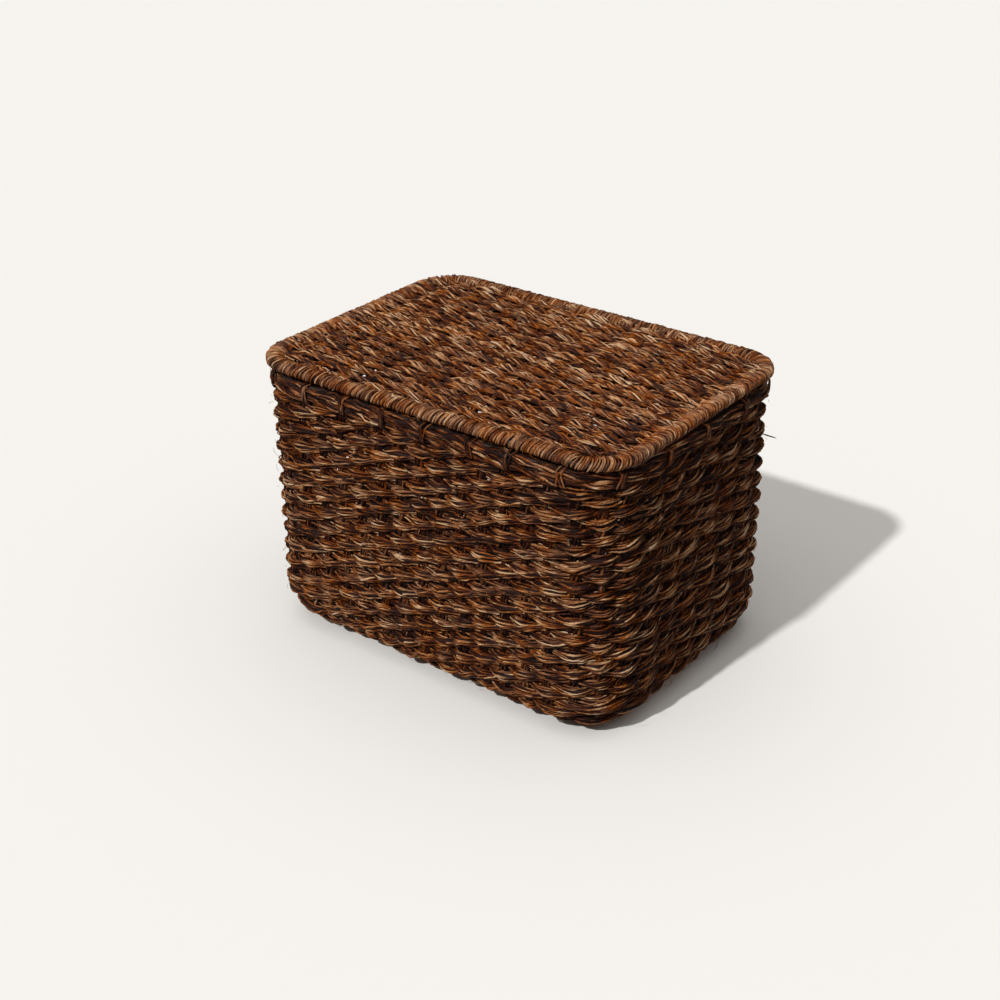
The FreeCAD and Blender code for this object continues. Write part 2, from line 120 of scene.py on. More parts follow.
def add_node(
    tree: bpy.types.NodeTree,
    kind: str,
    settings: Optional[dict] = None,
    links: Optional[dict] = None,
) -> bpy.types.Node:
    """Add one node with its settings and its links.

    Args:
        tree: the node tree it goes into.
        kind: the node's type name.
        settings: values by name, for an input socket where there is one of that name or number,
            and otherwise for the node's own property.
        links: output sockets by the name or number of the input that each one feeds.

    Returns:
        The new node.
    """
    node = tree.nodes.new(kind)
    for name, value in (settings or {}).items():
        if isinstance(name, int) or name in node.inputs:
            node.inputs[name].default_value = value
        else:
            setattr(node, name, value)
    for name, socket in (links or {}).items():
        tree.links.new(socket, node.inputs[name])
    return node


def new_tree(name: str) -> tuple[bpy.types.Material, bpy.types.NodeTree]:
    """Make a material with an empty node tree.

    Args:
        name: the material's name.

    Returns:
        The material and its tree.
    """
    material = bpy.data.materials.new(name)
    material.use_nodes = True
    material.node_tree.nodes.clear()
    return material, material.node_tree


def fill_ramp(ramp: bpy.types.ColorRamp, stops: tuple[tuple[float, str], ...]) -> None:
    """Set a colour ramp's stops.

    Args:
        ramp: the ramp of a Color Ramp node.
        stops: place from 0 to 1 and hex colour of each stop.
    """
    while len(ramp.elements) < len(stops):
        ramp.elements.new(1.0)
    for element, (place, colour) in zip(ramp.elements, stops):
        element.position = place
        element.color = linear_colour(colour)


@dataclass(frozen=True)
class TwistedLeafFibre:
    """Dried leaf fibre, twisted by hand and stained brown.

    Each strand has its own tone from near black to tan. Fine fibres run along it, so it is streaked
    lengthways, and its waxy skin catches the light in long soft glints.
    """

    name: str
    stops: tuple[tuple[float, str], ...]
    fibre_width: float = 0.7 * MM
    fibre_length: float = 11 * MM
    twist_pitch: float = 9 * MM
    blotch_size: float = 38 * MM
    stain_size: float = 14 * MM
    roughness: tuple[float, float] = (0.44, 0.7)
    groove_depth: float = 0.34 * MM
    streak_tone: float = 0.31
    blotch_tone: float = 0.07

    def build(self) -> bpy.types.Material:
        """Make the material.

        Returns:
            A material that reads the strand attributes "fibre" and "tone".
        """
        material, tree = new_tree(self.name)
        fibre = add_node(tree, "ShaderNodeAttribute", {"attribute_name": "fibre"})
        tone = add_node(tree, "ShaderNodeAttribute", {"attribute_name": "tone"})
        along, across = 1 / self.fibre_length, 1 / self.fibre_width
        split = add_node(tree, "ShaderNodeSeparateXYZ", links={"Vector": fibre.outputs["Vector"]})
        turned = add_node(
            tree, "ShaderNodeMath", {"operation": "MULTIPLY", 1: TURN / self.twist_pitch},
            {0: split.outputs["X"]},
        )
        twisted = add_node(
            tree, "ShaderNodeVectorRotate", {"rotation_type": "X_AXIS"},
            {"Vector": fibre.outputs["Vector"], "Angle": turned.outputs["Value"]},
        )
        stretched = add_node(
            tree, "ShaderNodeMapping", {"Scale": (along, across, across)},
            {"Vector": twisted.outputs["Vector"]},
        )
        streaks = add_node(
            tree, "ShaderNodeTexNoise",
            {"Scale": 1.0, "Detail": 3.0, "Roughness": 0.6}, {"Vector": stretched.outputs["Vector"]},
        )
        place = add_node(tree, "ShaderNodeTexCoord")
        blotches = add_node(
            tree, "ShaderNodeTexNoise",
            {"Scale": 1 / self.blotch_size, "Detail": 2.0}, {"Vector": place.outputs["Object"]},
        )
        streak_tone = add_node(
            tree, "ShaderNodeMapRange",
            {
                "From Min": 0.25, "From Max": 0.75, "To Min": -self.streak_tone, "To Max": self.streak_tone,
                "clamp": False,
            },
            {"Value": streaks.outputs["Fac"]},
        )
        blotch_tone = add_node(
            tree, "ShaderNodeMapRange",
            {
                "From Min": 0.3, "From Max": 0.7, "To Min": -self.blotch_tone, "To Max": self.blotch_tone,
                "clamp": False,
            },
            {"Value": blotches.outputs["Fac"]},
        )
        streaked = add_node(
            tree, "ShaderNodeMath", {"operation": "ADD"},
            {0: tone.outputs["Fac"], 1: streak_tone.outputs["Result"]},
        )
        blotched = add_node(
            tree, "ShaderNodeMath", {"operation": "ADD", "use_clamp": True},
            {0: streaked.outputs["Value"], 1: blotch_tone.outputs["Result"]},
        )
        colour = add_node(tree, "ShaderNodeValToRGB", links={"Fac": blotched.outputs["Value"]})
        fill_ramp(colour.color_ramp, self.stops)
        stains = add_node(
            tree, "ShaderNodeTexNoise",
            {"Scale": 1 / self.stain_size, "Detail": 1.0}, {"Vector": place.outputs["Object"]},
        )
        redness = add_node(
            tree, "ShaderNodeMapRange",
            {"From Min": 0.35, "From Max": 0.65, "To Min": 0.504, "To Max": 0.496},
            {"Value": stains.outputs["Fac"]},
        )
        richness = add_node(
            tree, "ShaderNodeMapRange",
            {"From Min": 0.35, "From Max": 0.65, "To Min": 0.92, "To Max": 1.1},
            {"Value": stains.outputs["Fac"]},
        )
        stained = add_node(
            tree, "ShaderNodeHueSaturation", None,
            {
                "Color": colour.outputs["Color"],
                "Hue": redness.outputs["Result"],
                "Saturation": richness.outputs["Result"],
            },
        )
        roughness = add_node(
            tree, "ShaderNodeMapRange",
            {"To Min": self.roughness[0], "To Max": self.roughness[1]}, {"Value": streaks.outputs["Fac"]},
        )
        grooves = add_node(
            tree, "ShaderNodeBump", {"Strength": 0.85, "Distance": self.groove_depth},
            {"Height": streaks.outputs["Fac"]},
        )
        skin = add_node(
            tree, "ShaderNodeBsdfPrincipled",
            {"IOR": 1.45, "Specular IOR Level": 0.2},
            {
                "Base Color": stained.outputs["Color"],
                "Roughness": roughness.outputs["Result"],
                "Normal": grooves.outputs["Normal"],
            },
        )
        add_node(tree, "ShaderNodeOutputMaterial", links={"Surface": skin.outputs["BSDF"]})
        return material


@dataclass(frozen=True)
class LacqueredWire:
    """Drawn mild steel wire, dipped in dark brown lacquer.

    It is nearly black-brown with a dull gloss, fine dents and a few worn, paler patches.
    """

    name: str = "lacquered_drawn_steel_wire"
    lacquer: str = "2B1A12"
    worn: str = "46342A"
    patch_size: float = 9 * MM
    speckle_size: float = 0.8 * MM
    dent_depth: float = 0.1 * MM

    def build(self) -> bpy.types.Material:
        """Make the material.

        Returns:
            A material on Object coordinates, for the frame's own wire meshes.
        """
        material, tree = new_tree(self.name)
        place = add_node(tree, "ShaderNodeTexCoord")
        patches = add_node(
            tree, "ShaderNodeTexNoise", {"Scale": 1 / self.patch_size, "Detail": 4.0},
            {"Vector": place.outputs["Object"]},
        )
        speckle = add_node(
            tree, "ShaderNodeTexNoise", {"Scale": 1 / self.speckle_size, "Detail": 2.0},
            {"Vector": place.outputs["Object"]},
        )
        wear = add_node(
            tree, "ShaderNodeMapRange", {"From Min": 0.58, "From Max": 0.72},
            {"Value": patches.outputs["Fac"]},
        )
        colour = add_node(
            tree, "ShaderNodeMix", {"data_type": "RGBA"}, {0: wear.outputs["Result"]}
        )
        colour.inputs[6].default_value = linear_colour(self.lacquer)
        colour.inputs[7].default_value = linear_colour(self.worn)
        roughness = add_node(
            tree, "ShaderNodeMapRange", {"To Min": 0.45, "To Max": 0.7}, {"Value": speckle.outputs["Fac"]}
        )
        dents = add_node(
            tree, "ShaderNodeBump", {"Strength": 0.4, "Distance": self.dent_depth},
            {"Height": speckle.outputs["Fac"]},
        )
        skin = add_node(
            tree, "ShaderNodeBsdfPrincipled", {"Metallic": 0.1, "Coat Weight": 0.1, "Coat Roughness": 0.4},
            {
                "Base Color": colour.outputs[2],
                "Roughness": roughness.outputs["Result"],
                "Normal": dents.outputs["Normal"],
            },
        )
        add_node(tree, "ShaderNodeOutputMaterial", links={"Surface": skin.outputs["BSDF"]})
        return material


@dataclass(frozen=True)
class PaintedFloor:
    """Matt off-white painted board: a plain, even, warm white with no gloss."""

    name: str = "matt_painted_board"
    paint: str = "F1EFEB"

    def build(self) -> bpy.types.Material:
        """Make the material.

        Returns:
            A plain matt material.
        """
        material, tree = new_tree(self.name)
        skin = add_node(
            tree, "ShaderNodeBsdfDiffuse", {"Color": linear_colour(self.paint)}
        )
        add_node(tree, "ShaderNodeOutputMaterial", links={"Surface": skin.outputs["BSDF"]})
        return material


BODY_FIBRE = TwistedLeafFibre(
    "hand_twisted_leaf_fibre_body",
    ((0.0, "0F0301"), (0.22, "371405"), (0.48, "6E3C1C"), (0.7, "965F38"), (0.88, "B98C62"), (1.0, "D3AE86")),
)
LID_FIBRE = TwistedLeafFibre(
    "hand_twisted_leaf_fibre_lid",
    ((0.0, "150401"), (0.22, "441B07"), (0.48, "7E4622"), (0.7, "A56A3D"), (0.88, "C29166"), (1.0, "D8B28A")),
)
BINDING_FIBRE = TwistedLeafFibre(
    "smoothed_leaf_fibre_binding",
    ((0.0, "130502"), (0.22, "421D0A"), (0.48, "794527"), (0.75, "AD784E"), (1.0, "E0B991")),
    roughness=(0.38, 0.62),
)


# ---- Strands ----

# A strand's fibres start at a random length up to this, so that no two strands look alike.
FIBRE_START = 40
MERGE_DISTANCE = 1e-7
END_TAPER = 0.8


@dataclass
class Strand:
    """One thin round bundle of fibres along a line of points."""

    points: np.ndarray
    radii: np.ndarray
    tones: np.ndarray
    closed: bool = False


def wander(rng: np.random.Generator, count: int, knots: int) -> np.ndarray:
    """Smooth random values about zero that meet up end to end.

    Args:
        rng: the seeded source.
        count: how many values.
        knots: how many random values they pass through.

    Returns:
        An array of count values with a spread of about one.
    """
    knots = max(knots, 3)
    heights = rng.normal(0.0, 1.0, knots)
    place = np.arange(count) * knots / count
    lower = place.astype(int)
    share = place - lower
    share = share * share * (3 - 2 * share)
    return heights[lower % knots] * (1 - share) + heights[(lower + 1) % knots] * share


def tapered(strand: Strand) -> Strand:
    """Draw an open strand's ends in to a point, so that they close.

    Args:
        strand: an open strand.

    Returns:
        The strand with radii that fall to zero at both ends.
    """
    radii = strand.radii.copy()
    radii[[1, -2]] *= END_TAPER
    radii[[0, -1]] = 0.0
    return Strand(strand.points, radii, strand.tones)


def sweep_strands(
    name: str, strands: list[Strand], section: Section, rng: np.random.Generator
) -> bpy.types.Object:
    """Sweep every strand as a round tube in one mesh, with the attributes that its finish reads.

    "fibre" is a point's length along its strand and its place in the section, in metres, so that
    fibres run along it, and "tone" is how light the strand is there.

    Args:
        name: the piece's name.
        strands: the strands.
        section: how the tubes' sections are drawn.
        rng: the seeded source of where each strand's fibres start.

    Returns:
        A mesh object at the origin.
    """
    curve = bpy.data.curves.new(name, "CURVE")
    curve.dimensions = "3D"
    curve.fill_mode = "FULL"
    curve.twist_mode = "MINIMUM"
    curve.bevel_depth = 1.0
    curve.bevel_resolution = section.value
    lengths, starts = [], []
    shaped = [strand if strand.closed else tapered(strand) for strand in strands]
    for strand in shaped:
        count = len(strand.points)
        spline = curve.splines.new("POLY")
        spline.points.add(count - 1)
        spline.points.foreach_set("co", np.column_stack([strand.points, np.ones(count)]).ravel())
        spline.points.foreach_set("radius", strand.radii)
        spline.use_cyclic_u = strand.closed
        spline.use_smooth = True
        steps = np.linalg.norm(np.diff(strand.points, axis=0), axis=1)
        lengths.append(np.concatenate([[0.0], np.cumsum(steps)]) + rng.uniform(0, FIBRE_START))
        starts.append(rng.uniform(0, 1))
    holder = bpy.data.objects.new(name, curve)
    mesh = bpy.data.meshes.new_from_object(holder)
    bpy.data.objects.remove(holder)
    bpy.data.curves.remove(curve)
    mesh.name = name
    sides = section.sides
    length = np.repeat(np.concatenate(lengths), sides)
    radius = np.repeat(np.concatenate([strand.radii for strand in shaped]), sides)
    angle = np.tile(np.arange(sides) * TURN / sides, len(length) // sides)
    fibre = np.column_stack([length, radius * np.cos(angle), radius * np.sin(angle)])
    tone = np.repeat(np.concatenate([strand.tones for strand in shaped]), sides)
    mesh.attributes.new("fibre", "FLOAT_VECTOR", "POINT").data.foreach_set("vector", fibre.ravel())
    mesh.attributes.new("tone", "FLOAT", "POINT").data.foreach_set("value", tone)
    work = bmesh.new()
    work.from_mesh(mesh)
    bmesh.ops.remove_doubles(work, verts=work.verts, dist=MERGE_DISTANCE)
    bmesh.ops.recalc_face_normals(work, faces=work.faces)
    work.to_mesh(mesh)
    work.free()
    mesh.shade_smooth()
    piece = bpy.data.objects.new(name, mesh)
    bpy.context.scene.collection.objects.link(piece)
    return piece


@dataclass(frozen=True)
class Lay:
    """How a rope is laid up from its strands, and how far it is pressed flat.

    The rope is full at the middle of each float and drawn in where it dives between two stakes. Its
    strands kink by a small length and lie round a core, which closes the gaps between them; the core's
    near-black tone is painted shade in those gaps. A negative twist length twists it the other way.
    """

    strands: int
    strand_radius: float
    full_half_height: float
    drawn_half_height: float
    half_thickness: float
    twist_length: float
    kink: float = 0.4 * MM
    core_share: float = 0.88
    painted_shade_core_tone: float = 0.08


@dataclass(frozen=True)
class HandWork:
    """How uneven hand-laid rope is. Lengths are in metres and the rest are shares or tones."""

    float_length: float = 22 * MM
    fewest_floats: int = 4
    height: float = 0.1
    thickness: float = 0.08
    sway: float = 0.35 * MM
    rope_tone: float = 0.07
    spacing: float = 0.4
    angle: float = 0.3
    size: tuple[float, float] = (0.7, 1.35)
    radius: float = 0.2
    drawn_radius: float = 0.86
    full_radius: float = 0.2
    reach: float = 0.08
    least_reach: float = 0.1 * MM
    least_radius: float = 0.2 * MM
    # Tone and share for lighter float crests and darker dips: partly wear, partly painted highlight and
    # painted shade.
    strand_tone: float = 0.18
    wear_and_painted_light_tone: float = 0.3
    wear_and_painted_light_share: float = 0.45


HAND = HandWork()


@dataclass
class RopeLine:
    """The middle line of a rope and the two directions across it."""

    centre: np.ndarray
    outward: np.ndarray
    upward: np.ndarray
    fullness: np.ndarray
    closed: bool

    def length(self) -> float:
        """Length of the line."""
        return float(np.linalg.norm(np.diff(self.centre, axis=0), axis=1).sum())


def lay_rope(line: RopeLine, lay: Lay, tone: float, spread: float, rng: np.random.Generator) -> list[Strand]:
    """Twist strands round a rope's middle line.

    Args:
        line: where the rope runs.
        lay: how it is laid up.
        tone: its middle tone, from 0 to 1.
        spread: how much its strands' tones differ.
        rng: the seeded source of its unevenness.

    Returns:
        The rope's strands.
    """
    count = len(line.centre)
    length = line.length()
    share = np.arange(count) / (count if line.closed else count - 1)
    turns = length / lay.twist_length
    if line.closed:
        turns = round(turns)
    floats = max(HAND.fewest_floats, round(length / HAND.float_length))
    height = lay.drawn_half_height + (lay.full_half_height - lay.drawn_half_height) * line.fullness
    height = height * (1 + HAND.height * wander(rng, count, floats))
    thickness = lay.half_thickness * (1 + HAND.thickness * wander(rng, count, floats))
    sway = HAND.sway * wander(rng, count, floats)
    rope_tone = HAND.rope_tone * wander(rng, count, floats)
    # The core's near-black tone is painted shade seen between the strands.
    core = np.full(count, lay.half_thickness * lay.core_share)
    strands = [Strand(line.centre, core, np.full(count, lay.painted_shade_core_tone), line.closed)]
    for number in range(lay.strands):
        phase = TURN * (number + rng.uniform(-HAND.spacing, HAND.spacing)) / lay.strands
        angle = phase - TURN * turns * share + HAND.angle * wander(rng, count, floats)
        size = lay.strand_radius * rng.uniform(*HAND.size)
        radii = size * (1 + HAND.radius * wander(rng, count, count // 2))
        radii = radii * (HAND.drawn_radius + HAND.full_radius * line.fullness)
        reach_out = np.maximum(thickness - size, HAND.least_reach)
        reach_out = reach_out * (1 + HAND.reach * wander(rng, count, floats * 2))
        reach_up = np.maximum(height - size, HAND.least_reach)
        offset_out = np.cos(angle) * reach_out + lay.kink * wander(rng, count, count // 2)
        offset_up = np.sin(angle) * reach_up + sway + lay.kink * wander(rng, count, count // 2)
        points = line.centre + line.outward * offset_out[:, None] + line.upward * offset_up[:, None]
        # Crest strands are made lighter and strands where the rope dives between stakes darker: partly wear,
        # partly painted highlight on the crests and painted shade in the dips.
        worn = HAND.wear_and_painted_light_tone * (np.abs(np.cos(angle)) * line.fullness - HAND.wear_and_painted_light_share)
        tones = tone + spread * rng.normal() + HAND.strand_tone * wander(rng, count, count // 2)
        tones = tones + rope_tone + worn
        strands.append(Strand(points, np.clip(radii, HAND.least_radius, None), tones, line.closed))
    return strands


def keep_off_floor(strands: list[Strand]) -> None:
    """Lift every strand that would pass through the floor to lie on it.

    Args:
        strands: the strands to change.
    """
    for strand in strands:
        strand.points[:, 2] = np.maximum(strand.points[:, 2], strand.radii)


def count_nodes(start: str) -> int:
    """How many of the frame's nodes have names that start like this."""
    return sum(name.startswith(start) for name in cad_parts)


def dress(piece: bpy.types.Object, material: bpy.types.Material, body: Body, slot: Slot, *nodes: str) -> None:
    """Give a finished piece its material and its body, and hide the frame's nodes that it stands for.

    Args:
        piece: the finished mesh object.
        material: its finish.
        body: the body that it rides on.
        slot: the record's material slot; not used.
        nodes: the frame's nodes that it replaces.
    """
    piece.data.materials.clear()
    piece.data.materials.append(material)
    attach(piece, body.value)
    if nodes:
        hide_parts(*nodes)
    LOG.info("%s: %d faces on %s", piece.name, len(piece.data.polygons), body.value)


# ---- Places ----


@dataclass
class RoundedOutline:
    """A rectangle with round corners, seen from above, measured along a line inside its edge.

    Distances run counter-clockwise from the front left corner's end of the front side.
    """

    half_length: float
    half_width: float
    corner_radius: float
    line_depth: float

    def sides(self) -> list[tuple[float, float, float, float, float]]:
        """Measure the four sides, each with the corner that follows it.

        Returns:
            Length, heading, the corner's two signs and the arc length of each side and its corner.
        """
        along = 2 * (self.half_length - self.corner_radius)
        across = 2 * (self.half_width - self.corner_radius)
        arc = (self.corner_radius - self.line_depth) * TURN / 4
        signs = ((1, -1), (1, 1), (-1, 1), (-1, -1))
        lengths = (along, across, along, across)
        headings = [turn * TURN / 4 for turn in range(4)]
        return [(length, heading, *sign, arc) for length, heading, sign in zip(lengths, headings, signs)]

    def length(self) -> float:
        """Length of the measuring line."""
        return sum(side[0] + side[4] for side in self.sides())

    def place(
        self, distance: np.ndarray, depth: np.ndarray, height: np.ndarray
    ) -> tuple[np.ndarray, np.ndarray]:
        """Points by distance along the line, depth inside the edge and height.

        Args:
            distance: distances along the measuring line.
            depth: depths inside the outer edge, negative outside it.
            height: heights above the floor.

        Returns:
            The points, and the outward direction at each.
        """
        distance = np.mod(distance, self.length())
        points = np.zeros((len(distance), 3))
        normals = np.zeros((len(distance), 3))
        start = 0.0
        for length, heading, sign_x, sign_y, arc in self.sides():
            centre = np.array([
                sign_x * (self.half_length - self.corner_radius),
                sign_y * (self.half_width - self.corner_radius),
            ])
            here = (distance >= start) & (distance <= start + length + arc)
            run = np.minimum(distance[here] - start, length)
            beyond = np.maximum(distance[here] - start - length, 0)
            turn = heading + beyond / (self.corner_radius - self.line_depth)
            normal = np.column_stack([np.sin(turn), -np.cos(turn)])
            tangent = np.array([math.cos(heading), math.sin(heading)])
            reach = (self.corner_radius - depth[here])[:, None]
            points[here, :2] = centre + tangent * (run - length)[:, None] + normal * reach
            normals[here, :2] = normal
            start += length + arc
        points[:, 2] = height
        return points, normals


def centred_places(length: float, pitch: float) -> list[float]:
    """Evenly pitched places centred on a length.

    Args:
        length: the length.
        pitch: the distance between places.

    Returns:
        As many places as fit between its ends.
    """
    count = int(length / pitch) + 1
    return [length / 2 + (index - (count - 1) / 2) * pitch for index in range(count)]


@dataclass
class Wall:
    """The basket's upright wall and its rounded bottom edge: outline, stakes and depths."""

    corner_radius: float = 57.2 * MM
    edge_radius: float = 35.3 * MM
    thickness: float = 16.0 * MM
    rope_thickness: float = 5.6 * MM
    pressed: float = 0.62
    long_pitch: float = 21.5 * MM
    short_pitch: float = 29.0 * MM
    outline: RoundedOutline = field(init=False)
    places: list[tuple[str, float]] = field(init=False)

    def __post_init__(self) -> None:
        """Take the outline from the lowest side course and place the stakes round it."""
        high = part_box("side_course_01")[1]
        self.outline = RoundedOutline(high.x, high.y, self.corner_radius, self.middle)
        self.places = []
        start = 0.0
        names = ("front", "right", "back", "left")
        for name, (length, _, _, _, arc) in zip(names, self.outline.sides()):
            pitch = self.long_pitch if name in ("front", "back") else self.short_pitch
            self.places += [(name, start + place) for place in centred_places(length, pitch)]
            start += length
            for number, kind in enumerate(("corner_stake", "post", "corner_stake"), 1):
                self.places.append((kind, start + arc * number / 4))
            start += arc

    @property
    def middle(self) -> float:
        """Depth of the stakes, halfway through the wall."""
        return self.thickness / 2

    @property
    def swing(self) -> float:
        """How far a course's middle moves either side of the stakes, where it is pressed round them."""
        return (self.middle - self.rope_thickness / 2) * self.pressed

    def of_kind(self, *kinds: str) -> list[float]:
        """Distances of the places of these kinds."""
        return [distance for kind, distance in self.places if kind in kinds]

    def weave_grid(self, per_gap: int, skip_corner_stakes: bool) -> tuple[np.ndarray, np.ndarray]:
        """Distances round the wall, and how many stakes each has passed.

        Args:
            per_gap: points from one stake to the next.
            skip_corner_stakes: whether the rope passes below the corner stakes.

        Returns:
            The distances, and the stake counts, whole at each stake.
        """
        stakes = [d for kind, d in self.places if not (skip_corner_stakes and kind == "corner_stake")]
        ends = np.array([*stakes, stakes[0] + self.outline.length()])
        count = np.arange(len(stakes) * per_gap) / per_gap
        return np.interp(count, np.arange(len(ends)), ends), count


def weave_fullness(count: np.ndarray) -> np.ndarray:
    """How full a rope is: one over a stake, zero halfway to the next."""
    return np.abs(np.cos(math.pi * count)) ** 1.1


# ---- The basket ----


@dataclass
class WallCourses:
    """The plaited rope courses of the upright wall, each past the stakes on alternate sides."""

    wall: Wall
    lay: Lay = Lay(14, 0.7 * MM, 4.8 * MM, 3.7 * MM, 3.8 * MM, -190 * MM, 0.44 * MM)
    per_gap: int = 6
    sag: float = 0.5 * MM
    bulge: float = 0.1
    tone: float = 0.525
    tone_step: float = 0.03
    spread: float = 0.14

    def line(self, number: int, rng: np.random.Generator) -> RopeLine:
        """The line of one course.

        Args:
            number: the course, counted from 0 at the bottom.
            rng: the seeded source of its unevenness.

        Returns:
            A closed line round the wall.
        """
        low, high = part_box(f"side_course_{number + 1:02d}")
        distance, count = self.wall.weave_grid(self.per_gap, False)
        stakes = len(self.wall.places)
        wave = np.cos(math.pi * (count + number))
        bulge = 1 + self.bulge * wander(rng, len(count), stakes)
        depth = self.wall.middle - self.wall.swing * wave * bulge
        level = (low.z + high.z) / 2 + self.sag * wander(rng, len(count), stakes)
        centre, outward = self.wall.outline.place(distance, depth, level)
        upward = np.tile(UPWARD, (len(count), 1))
        return RopeLine(centre, outward, upward, weave_fullness(count), True)

    def build(self, material: bpy.types.Material) -> None:
        """Make every course and dress it.

        Args:
            material: the courses' finish.
        """
        for number in range(count_nodes("side_course_")):
            rng = np.random.default_rng(Seed.COURSES.value + number)
            line = self.line(number, rng)
            strands = lay_rope(line, self.lay, self.tone + rng.normal(0, self.tone_step), self.spread, rng)
            piece = sweep_strands(f"side_rope_{number + 1:02d}", strands, Section.SQUARE, rng)
            dress(piece, material, Body.BASKET, Slot.BODY_ROPE, f"side_course_{number + 1:02d}")


@dataclass
class BottomEdge:
    """The plaited courses that turn under the basket, from the foot of the wall to the base."""

    wall: Wall
    lay: Lay = Lay(14, 0.7 * MM, 4.6 * MM, 3.6 * MM, 3.7 * MM, -190 * MM, 0.44 * MM)
    per_gap: int = 6
    bulge: float = 0.08
    bulges: int = 42
    tone: float = 0.49
    spread: float = 0.14

    def line(self, number: int, numbers: int, rng: np.random.Generator) -> RopeLine:
        """The line of one course.

        Args:
            number: the course, counted from 0 at the top.
            numbers: how many there are.
            rng: the seeded source of its unevenness.

        Returns:
            A closed line round the bottom edge.
        """
        distance, count = self.wall.weave_grid(self.per_gap, True)
        angle = (number + 0.5) / numbers * TURN / 4
        wave = np.cos(math.pi * (count + number + 1))
        bulge = 1 + self.bulge * wander(rng, len(count), self.bulges)
        depth = self.wall.middle - self.wall.swing * wave * bulge
        reach = self.wall.edge_radius - depth
        flat_depth = self.wall.edge_radius - reach * math.cos(angle)
        level = self.wall.edge_radius - reach * math.sin(angle)
        centre, normal = self.wall.outline.place(distance, flat_depth, level)
        outward = normal * math.cos(angle) - UPWARD * math.sin(angle)
        upward = normal * math.sin(angle) + UPWARD * math.cos(angle)
        return RopeLine(centre, outward, upward, weave_fullness(count), True)

    def build(self, material: bpy.types.Material) -> None:
        """Make every course and dress it.

        Args:
            material: the courses' finish.
        """
        numbers = count_nodes("edge_course_")
        for number in range(numbers):
            rng = np.random.default_rng(Seed.EDGE.value + number)
            strands = lay_rope(self.line(number, numbers, rng), self.lay, self.tone, self.spread, rng)
            keep_off_floor(strands)
            piece = sweep_strands(f"edge_rope_{number + 1}", strands, Section.SQUARE, rng)
            dress(piece, material, Body.BASKET, Slot.BODY_ROPE, f"edge_course_{number + 1}")


